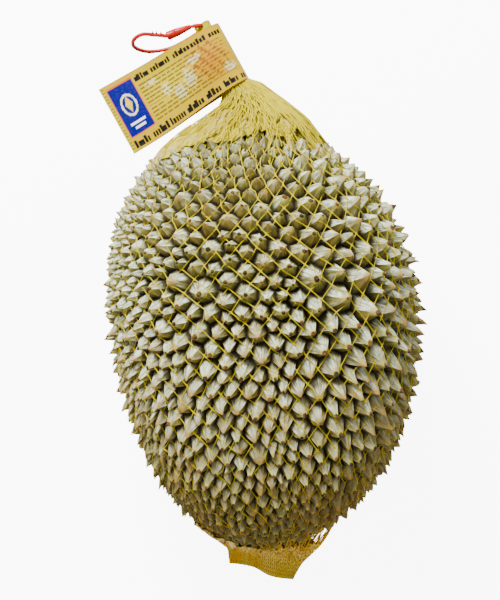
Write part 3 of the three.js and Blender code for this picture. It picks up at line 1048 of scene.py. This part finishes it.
def bunch_finish(settings):
    """The inner layers of bunched net: yellow strands over a darker copy of the yellow as painted shade,
    with paler patches where the husk shows through.
    """
    finish = Finish("net_bunch")
    patches = finish.noise(finish.place(), 75.0, 4.0)
    mesh_lines = finish.crossed_lines(560.0, 26.0, finish.sum("MULTIPLY", patches, 4.0))
    yellow = tuple(settings.neck_colour)
    # Painted shade: the net's yellow darkened for the ground between the strands.
    shaded = tuple(0.62 * c for c in yellow)
    ground = finish.mix(finish.between(patches, 0.46, 0.58), shaded, (0.48, 0.36, 0.16))
    colour = finish.mix(finish.between(mesh_lines, 0.1, 0.8), ground, yellow)
    finish.join(colour, finish.surface.inputs["Base Color"])
    finish.surface.inputs["Roughness"].default_value = 0.5
    finish.surface.inputs["Specular IOR Level"].default_value = 0.2
    finish.join(finish.bump(mesh_lines, 0.0005, 0.8), finish.surface.inputs["Normal"])
    return finish.material


def weld_finish(settings):
    """Flattened, welded net: golden, darkened to brown between its strands as painted shade."""
    finish = Finish("net_weld")
    patches = finish.noise(finish.place(), 130.0, 4.0)
    mesh_lines = finish.crossed_lines(700.0, 44.0, finish.sum("MULTIPLY", patches, 3.0))
    golden = tuple(settings.seam_colour)
    # Painted shade: the ramp runs from half the golden between the strands up to the golden and a paler
    # yellow on them.
    colour = finish.ramp(
        finish.sum("MULTIPLY_ADD", mesh_lines, 0.5, 0.5),
        (0.25, tuple(0.50 * c for c in golden)),
        (0.62, golden),
        (0.95, (0.95, 0.66, 0.02)),
    )
    colour = finish.mix(finish.between(patches, 0.5, 0.7, 0.0, 0.55), colour, (0.50, 0.20, 0.02))
    finish.join(colour, finish.surface.inputs["Base Color"])
    finish.surface.inputs["Roughness"].default_value = 0.42
    finish.surface.inputs["Specular IOR Level"].default_value = 0.3
    finish.join(finish.bump(mesh_lines, 0.0005, 0.8), finish.surface.inputs["Normal"])
    return finish.material


def flat_sleeve(name):
    """A flat grid that becomes a sleeve once it is wrapped, with where each point lies round
    the sleeve, as an angle, and along it, as a share."""
    deselect_all()
    bpy.ops.mesh.primitive_grid_add(
        x_subdivisions=SLEEVE_COLUMNS, y_subdivisions=SLEEVE_ROWS, size=1
    )
    sleeve = bpy.context.object
    sleeve.name = name
    flat = get_places(sleeve.data) + 0.5
    return sleeve, flat[:, 0] * 2 * math.pi, flat[:, 1]


def close_sleeve(sleeve, places, tree):
    """Wraps and joins a sleeve, keeps it off the husk and gives it a thickness."""
    push_out(places, range(len(places)), tree, SLEEVE_WALL)
    set_places(sleeve.data, places)
    in_edit_mode(
        sleeve,
        (bpy.ops.mesh.remove_doubles, {"threshold": 0.000001}),
        (bpy.ops.mesh.normals_make_consistent, {"inside": False}),
    )
    wall = sleeve.modifiers.new("wall", "SOLIDIFY")
    wall.thickness = SLEEVE_WALL
    wall.offset = 0
    apply_modifiers(sleeve)
    smooth_shade(sleeve, 60)


class DURIAN_OT_make_seam(Operator):
    """Make the crumpled, welded end of the net"""

    bl_idname = "durian.make_seam"
    bl_label = "Net seam"

    def execute(self, context):
        ways = NetWays()
        skirt, angle, share = flat_sleeve("net_seam_skirt")
        reach = 15 - 3 * np.sin(angle) + 2 * np.sin(3 * angle + 0.6) + 1.5 * np.sin(7 * angle)
        fold = 0.0007 * np.sin(31 * angle + 5 * share) + 0.0005 * np.sin(67 * angle - 7 * share)
        places = ways.at(reach * share, angle + 0.05 * np.sin(9 * angle) * share)
        fold *= smooth_step(0.0, 0.5, share)
        places += outward_from_axis(places) * (fold - 0.0009 * share)[:, None]
        away = (places - SEAM_CENTRE) @ ACROSS_SEAM / 0.0205
        hem = (0.0016 + 0.0012 * np.sin(4 * away) + 0.0016 * away) * (1 - share) ** 3
        places -= ALONG_SEAM * hem[:, None]
        places += UP * (0.0008 * np.sin(9 * away) * (1 - smooth_step(0.0, 0.35, share)))[:, None]
        close_sleeve(skirt, places, husk_tree())

        fit_piece(skirt, weld_finish(context.scene.durian_net), "net_seam", "net_seam")
        return {"FINISHED"}


# ---------- the label ----------

LABEL_LENGTH = 0.084
LABEL_LOW = -0.002
LABEL_HIGH = 0.038
LABEL_SEAL = 0.009
LABEL_FOLD = 0.0092
LABEL_HALF_DEPTH = 0.0089


def bezier(points, steps):
    a, b, c, d = (np.array(p) for p in points)
    t = np.linspace(0, 1, steps)[:, None]
    return (1 - t) ** 3 * a + 3 * (1 - t) ** 2 * t * b + 3 * (1 - t) * t * t * c + t**3 * d


def label_section():
    """The strip's middle line, as across and up, from the sealed end round the neck and back."""
    sealed = LABEL_FOLD - LABEL_LENGTH
    inside = sealed + LABEL_SEAL
    depth, fold = LABEL_HALF_DEPTH, LABEL_FOLD
    top = (-0.001, depth)
    upper = np.vstack(
        [
            [[sealed, 0.0002], [inside, 0.0002]],
            bezier([(inside, 0.0002), (inside + 0.03, 0.3 * depth), (-0.02, depth), top], 30)[1:],
            bezier([top, (0.6 * fold, depth), (fold, 0.55 * depth), (fold, 0)], 12)[1:],
        ]
    )
    lower = upper[::-1][1:] * [1, -1]
    return np.vstack([upper, lower])


def inside_box(s, t, left, right, low, high):
    return (s > left) & (s < right) & (t > low) & (t < high)


def label_colours(s, t, settings):
    """The label's colours: the printed design, with a painted highlight and painted shade with crease
    shadows laid over it. s runs from the sealed end and t up from the lower edge, in mm.
    """
    rng = np.random.default_rng(21)
    ground = np.array(settings.ground_colour)
    colours = np.tile(ground, (len(s), 1))

    def paint(where, colour, strength=1.0):
        colours[where] += (np.array(colour) - colours[where]) * strength

    # Painted highlight: a paler lemon pool in the middle of the front panel.
    glow = np.exp(-(((s - 44) / 20) ** 2 + ((t - 24) / 12) ** 2))
    colours[:] += (np.array([0.52, 0.43, 0.0]) - colours) * (0.85 * glow)[:, None]
    # Painted shade: darker orange where the film wraps over the neck, with dark painted crease shadows
    # in it.
    wrap_shade = np.exp(-(((s - 68) / 13) ** 2 + ((t - 22) / 13) ** 2))
    colours[:] += (np.array([0.46, 0.15, 0.002]) - colours) * (0.8 * wrap_shade)[:, None]
    crease_shadows = np.sin(1.1 * s + 0.5 * t) + 0.7 * np.sin(2.1 * t - 0.9 * s) + 0.4 * np.sin(3.7 * s)
    paint((wrap_shade > 0.42) & (crease_shadows > 0.70), (0.20, 0.045, 0.004), 0.75)
    for middle, high, wide, tall in (
        (31, 29, 5, 1.6),
        (37, 21, 3, 3.5),
        (44, 15, 4, 5),
        (53, 19, 4, 6),
        (60, 27, 5, 2.5),
        (78, 12, 4, 3),
    ):
        uneven = 0.35 * np.sin(1.9 * s + t) + 0.3 * np.sin(2.3 * t - 0.8 * s)
        inside = ((s - middle) / wide) ** 2 + ((t - high) / tall) ** 2 + uneven
        paint(inside < 0.8, (0.62, 0.58, 0.30), 0.7)

    for row in range(11):
        middle = 9.2 + 2.15 * row
        s_word = 22.8
        while s_word < 79:
            length = rng.uniform(2.0, 5.2)
            if rng.uniform() < 0.92:
                tone = 0.86 if s_word < 62 else 0.6
                paint(
                    inside_box(s, t, s_word, s_word + length, middle - 0.42, middle + 0.42),
                    (0.075, 0.045, 0.006),
                    tone,
                )
            s_word += length + rng.uniform(0.5, 0.8)
    for low, high, start, stop in ((33.4, 37.0, 22.0, 82.0), (1.6, 5.9, 3.2, 84.0)):
        s_word = start
        while s_word < stop:
            length = rng.uniform(8.5, 14.0)
            stroke = s_word
            while stroke < min(s_word + length, stop):
                wide = rng.uniform(1.3, 2.1)
                tall = rng.choice([0.74, 0.76, 1.0])
                paint(
                    inside_box(s, t, stroke, stroke + wide, low, low + (high - low) * tall),
                    (0.006, 0.006, 0.008),
                )
                stroke += wide + 0.38
            s_word += length + 2.4

    panel = inside_box(s, t, 4.0, 20.3, 8.3, 36.7)
    paint(inside_box(s, t, 3.4, 20.9, 7.6, 37.4), (0.60, 0.09, 0.004))
    paint(panel, settings.panel_colour)
    round_place = np.hypot((s - 12.1) / 5.0, (t - 24.5) / 6.4)
    paint(panel & (round_place < 1.0), (0.70, 0.66, 0.42))
    paint(round_place < 0.80, settings.panel_colour)
    leaf = np.abs(s - 12.1) / 2.6 + np.abs(t - 24.8) / 5.0
    paint(leaf < 0.92, (0.66, 0.48, 0.04))
    for low, left, right in ((13.6, 7.0, 17.4), (10.9, 8.6, 15.8)):
        paint(inside_box(s, t, left, right, low, low + 1.2), (0.86, 0.84, 0.78))

    paint(s < 2.6, (0.50, 0.38, 0.0))
    paint((s > 0.7) & (s < 2.3) & (np.mod(t, 1.9) < 0.8), (0.12, 0.10, 0.004), 0.85)
    paint((t < 0.5) | (t > 39.4), (0.42, 0.22, 0.0), 0.7)
    return colours


def label_finish():
    """Glossy printed film, faintly creased."""
    finish = Finish("label_film")
    # The label's colours carry the painted highlight and painted shade laid into the printed design.
    print_and_light_colour = finish.add("ShaderNodeAttribute", attribute_name="print_and_painted_light").outputs["Color"]
    place = finish.place()
    creases = finish.noise(place, 55.0, 3.0, 0.6)
    grain = finish.noise(place, 700.0, 2.0)
    colour = finish.mix(finish.between(grain, 0.45, 0.8, 0.0, 0.08), print_and_light_colour, (0.30, 0.20, 0.01))
    finish.join(colour, finish.surface.inputs["Base Color"])
    finish.join(finish.between(creases, 0.3, 0.7, 0.36, 0.50), finish.surface.inputs["Roughness"])
    finish.surface.inputs["Specular IOR Level"].default_value = 0.08
    finish.join(finish.bump(creases, 0.0014, 0.5), finish.surface.inputs["Normal"])
    return finish.material


class DURIAN_OT_make_label(Operator):
    """Make the printed label, folded round the neck and sealed to itself"""

    bl_idname = "durian.make_label"
    bl_label = "Label"

    def execute(self, context):
        settings = context.scene.durian_label
        section = label_section()
        lengths = np.concatenate(
            [[0], np.cumsum(np.linalg.norm(np.diff(section, axis=0), axis=1))]
        )
        whole = lengths[-1]
        deselect_all()
        bpy.ops.mesh.primitive_grid_add(x_subdivisions=400, y_subdivisions=90, size=1)
        label = context.object
        label.name = "label_strip"
        flat = get_places(label.data)
        run = (flat[:, 0] + 0.5) * whole
        rise = (flat[:, 1] + 0.5) * (LABEL_HIGH - LABEL_LOW)
        across = np.interp(run, lengths, section[:, 0])
        lift = np.interp(run, lengths, section[:, 1])
        front = run < whole / 2
        from_seal = np.where(front, run, whole - run)
        droop = 0.0062 * (1 - smooth_step(0.0, 0.082, from_seal)) - 0.0012
        droop *= 1 - rise / (LABEL_HIGH - LABEL_LOW)
        loose = smooth_step(0.010, 0.035, from_seal) * (1 - smooth_step(0.078, 0.090, from_seal))
        wave = 0.00055 * np.sin(95 * from_seal + 60 * rise)
        wave += 0.0004 * np.sin(210 * rise - 40 * from_seal)
        lift += np.where(front, 1, -1) * loose * wave
        sag = 0.0009 * np.sin(70 * from_seal + 25 * rise) * (1 - smooth_step(0.0, 0.045, from_seal))
        lift += sag
        places = (
            NECK_BASE
            + ACROSS_NECK * across[:, None]
            + ALONG_NECK * (LABEL_LOW + rise - droop)[:, None]
            + UP * lift[:, None]
        )
        set_places(label.data, places)
        colours = label_colours(from_seal * 1000, rise * 1000, settings)
        attribute = label.data.color_attributes.new("print_and_painted_light", "FLOAT_COLOR", "POINT")
        attribute.data.foreach_set("color", np.column_stack([colours, np.ones(len(colours))]).ravel())
        wall = label.modifiers.new("wall", "SOLIDIFY")
        wall.thickness = settings.film_thickness
        wall.offset = 0
        apply_modifiers(label)
        smooth_shade(label, 50)
        fit_piece(label, label_finish(), "label_film", "header_label")
        return {"FINISHED"}


# ---------- the tie ----------

# The strand's points, as across the neck, along the neck and up from the neck's middle, in mm.
TIE_POINTS = (
    (-7, 43.4, 7.5),
    (-1.5, 41.6, 5.5),
    (0, 40.8, 0),
    (-2, 40.4, -6),
    (-11, 40, -8.5),
    (-24, 40.5, -8.5),
    (-36, 44.5, -7),
    (-42.5, 50, -2),
    (-41.5, 53.5, 4),
    (-35, 53.5, 7.5),
    (-28.5, 49.3, 8.5),
    (-22, 45, 8.5),
)


CONE_LENGTH = 0.0102  # of the tie's locking head
CONE_MIDDLE = 0.0100  # ahead of the strand's end
COLLAR_LENGTH = 0.0055
COLLAR_MIDDLE = 0.00225
BARB_PLACES = (0.955, 0.928, 0.901)  # as shares of the strand's length
BARB_OFFSET = Vector((0, 0.0012, 0.0011))


def smooth_way(points, steps):
    """A smooth line through points, by cardinal splines."""
    points = np.vstack([2 * points[0] - points[1], points, 2 * points[-1] - points[-2]])
    line = []
    for a, b, c, d in zip(points[:-3], points[1:-2], points[2:-1], points[3:]):
        for t in np.arange(steps) / steps:
            line.append(
                0.5
                * (
                    2 * b
                    + (c - a) * t
                    + (2 * a - 5 * b + 4 * c - d) * t * t
                    + (3 * b - a - 3 * c + d) * t**3
                )
            )
    line.append(points[-2])
    return np.array(line)


def tie_finish(settings):
    """Moulded red plastic with a faint flow pattern."""
    finish = Finish("tie_plastic")
    place = finish.place()
    flow = finish.noise(place, 180.0, 3.0)
    grain = finish.noise(place, 1500.0, 2.0)
    red = tuple(settings.colour)
    colour = finish.ramp(
        flow,
        (0.35, tuple(0.72 * c for c in red)),
        (0.52, red),
        (0.72, (0.52, 0.004, 0.001)),
    )
    finish.join(colour, finish.surface.inputs["Base Color"])
    finish.join(finish.between(flow, 0.3, 0.7, 0.26, 0.42), finish.surface.inputs["Roughness"])
    finish.surface.inputs["Specular IOR Level"].default_value = 0.25
    finish.join(finish.bump(grain, 0.00008, 0.5), finish.surface.inputs["Normal"])
    return finish.material


class DURIAN_OT_make_tie(Operator):
    """Make the moulded loop tie, with its locking head and barbs"""

    bl_idname = "durian.make_tie"
    bl_label = "Loop tie"

    def execute(self, context):
        settings = context.scene.durian_tie
        points = np.array(
            [
                NECK_BASE + (ACROSS_NECK * a + ALONG_NECK * b + UP * c) * 0.001
                for a, b, c in TIE_POINTS
            ]
        )
        way = smooth_way(points, 14)
        swell = np.ones(len(way))
        swell[:6] = np.linspace(0.75, 1.0, 6)
        tie = tube_strands("tie_loop", [way], settings.strand_radius, swell)
        nose, back = way[0], way[-1]
        forward = Vector(nose - back).normalized()
        turn = forward.to_track_quat("Z", "Y")

        deselect_all()
        bpy.ops.mesh.primitive_cone_add(
            vertices=24,
            radius1=settings.head_radius,
            radius2=settings.strand_radius * 1.15,
            depth=CONE_LENGTH,
            location=Vector(back) + forward * CONE_MIDDLE,
            rotation=turn.to_euler(),
        )
        cone = context.object
        deselect_all()
        bpy.ops.mesh.primitive_cylinder_add(
            vertices=24,
            radius=settings.head_radius,
            depth=COLLAR_LENGTH,
            location=Vector(back) + forward * COLLAR_MIDDLE,
            rotation=turn.to_euler(),
        )
        collar = context.object
        for part, width in ((cone, 0.0003), (collar, 0.0006)):
            set_place(part)
            bevel = part.modifiers.new("edge", "BEVEL")
            bevel.width = width
            bevel.segments = 3
            bevel.limit_method = "ANGLE"
            apply_modifiers(part)
        barbs = []
        for share in BARB_PLACES:
            deselect_all()
            where = way[int(share * (len(way) - 1))]
            bpy.ops.mesh.primitive_cone_add(
                vertices=12,
                radius1=0.0009,
                radius2=0.00025,
                depth=0.0022,
                location=Vector(where) + BARB_OFFSET,
                rotation=(math.radians(-48), 0, 0),
            )
            set_place(context.object)
            barbs.append(context.object)
        deselect_all()
        for part in (cone, collar, *barbs, tie):
            part.select_set(True)
        context.view_layer.objects.active = tie
        bpy.ops.object.join()
        smooth_shade(tie, 40)
        fit_piece(tie, tie_finish(settings), "tie_plastic", "loop_tie")
        return {"FINISHED"}


# ---------- the stage ----------


class DURIAN_OT_make_stage(Operator):
    """Make the floor, the lights and the camera"""

    bl_idname = "durian.make_stage"
    bl_label = "Stage"

    def execute(self, context):
        settings = context.scene.durian_stage
        deselect_all()
        bpy.ops.mesh.primitive_plane_add(size=80)
        floor = context.object
        floor.name = "stage_floor"
        finish = Finish("plain_floor")
        finish.surface.inputs["Base Color"].default_value = (*settings.floor_colour, 1)
        finish.surface.inputs["Roughness"].default_value = 0.9
        finish.surface.inputs["Specular IOR Level"].default_value = 0.0
        seen = finish.add("ShaderNodeLightPath").outputs["Is Camera Ray"]
        finish.surface.inputs["Emission Color"].default_value = (1, 1, 1, 1)
        glow = finish.sum("MULTIPLY", seen, 8.0)
        finish.join(glow, finish.surface.inputs["Emission Strength"])
        floor.data.materials.append(finish.material)

        middle = Vector((-0.0085, 0.0045, WIDEST_HEIGHT))
        for name, place, size, power in (
            ("key", (-0.34, 1.30, 1.22), 0.7, 100.0),
            ("fill", (1.3, -0.2, 1.3), 1.6, 9.0),
            ("side", (-1.4, -0.4, 1.0), 1.6, 6.0),
        ):
            light = bpy.data.lights.new(f"{name}_light", "AREA")
            light.size = size
            light.energy = power
            lamp = bpy.data.objects.new(f"{name}_light", light)
            lamp.location = place
            lamp.rotation_euler = (middle - Vector(place)).to_track_quat("-Z", "Y").to_euler()
            context.scene.collection.objects.link(lamp)

        world = bpy.data.worlds.new("studio")
        world.use_nodes = True
        background = world.node_tree.nodes["Background"]
        background.inputs[0].default_value = (1.0, 1.0, 1.0, 1)
        seen = world.node_tree.nodes.new("ShaderNodeLightPath").outputs["Is Camera Ray"]
        glow = world.node_tree.nodes.new("ShaderNodeMath")
        glow.operation = "MULTIPLY_ADD"
        glow.inputs[1].default_value = 7.0
        glow.inputs[2].default_value = 0.36
        world.node_tree.links.new(seen, glow.inputs[0])
        world.node_tree.links.new(glow.outputs[0], background.inputs[1])
        context.scene.world = world

        lens = bpy.data.cameras.new("camera")
        lens.lens = 100
        lens.sensor_width = 36
        lens.clip_end = 100
        camera = bpy.data.objects.new("camera", lens)
        camera.location = middle + Vector((0, 0, settings.camera_distance))
        camera.rotation_euler = (0, 0, -settings.camera_turn)
        context.scene.collection.objects.link(camera)
        context.scene.camera = camera
        return {"FINISHED"}


# ---------- the panel and the script ----------


class DURIAN_PT_panel(Panel):
    """Buttons and settings for the netted durian"""

    bl_label = "Netted durian"
    bl_idname = "DURIAN_PT_panel"
    bl_space_type = "VIEW_3D"
    bl_region_type = "UI"
    bl_category = "Durian"

    def draw(self, context):
        for operator, group in STEPS:
            box = self.layout.box()
            box.operator(operator.bl_idname)
            settings = getattr(context.scene, group)
            for name in settings.__annotations__:
                box.prop(settings, name)


GROUPS = {
    "durian_husk": DURIAN_PG_husk,
    "durian_net": DURIAN_PG_net,
    "durian_label": DURIAN_PG_label,
    "durian_tie": DURIAN_PG_tie,
    "durian_stage": DURIAN_PG_stage,
}
STEPS = (
    (DURIAN_OT_make_husk, "durian_husk"),
    (DURIAN_OT_make_net, "durian_net"),
    (DURIAN_OT_make_seam, "durian_net"),
    (DURIAN_OT_make_label, "durian_label"),
    (DURIAN_OT_make_tie, "durian_tie"),
    (DURIAN_OT_make_stage, "durian_stage"),
)
CLASSES = (*GROUPS.values(), *(operator for operator, _ in STEPS), DURIAN_PT_panel)


def register():
    for item in CLASSES:
        bpy.utils.register_class(item)
    for name, group in GROUPS.items():
        setattr(bpy.types.Scene, name, PointerProperty(type=group))


def unregister():
    for name in GROUPS:
        delattr(bpy.types.Scene, name)
    for item in reversed(CLASSES):
        bpy.utils.unregister_class(item)


def main():
    register()
    bpy.ops.durian.make_husk()
    bpy.ops.durian.make_net()
    bpy.ops.durian.make_seam()
    bpy.ops.durian.make_label()
    bpy.ops.durian.make_tie()
    bpy.ops.durian.make_stage()
    deselect_all()


if __name__ == "__main__":
    main()
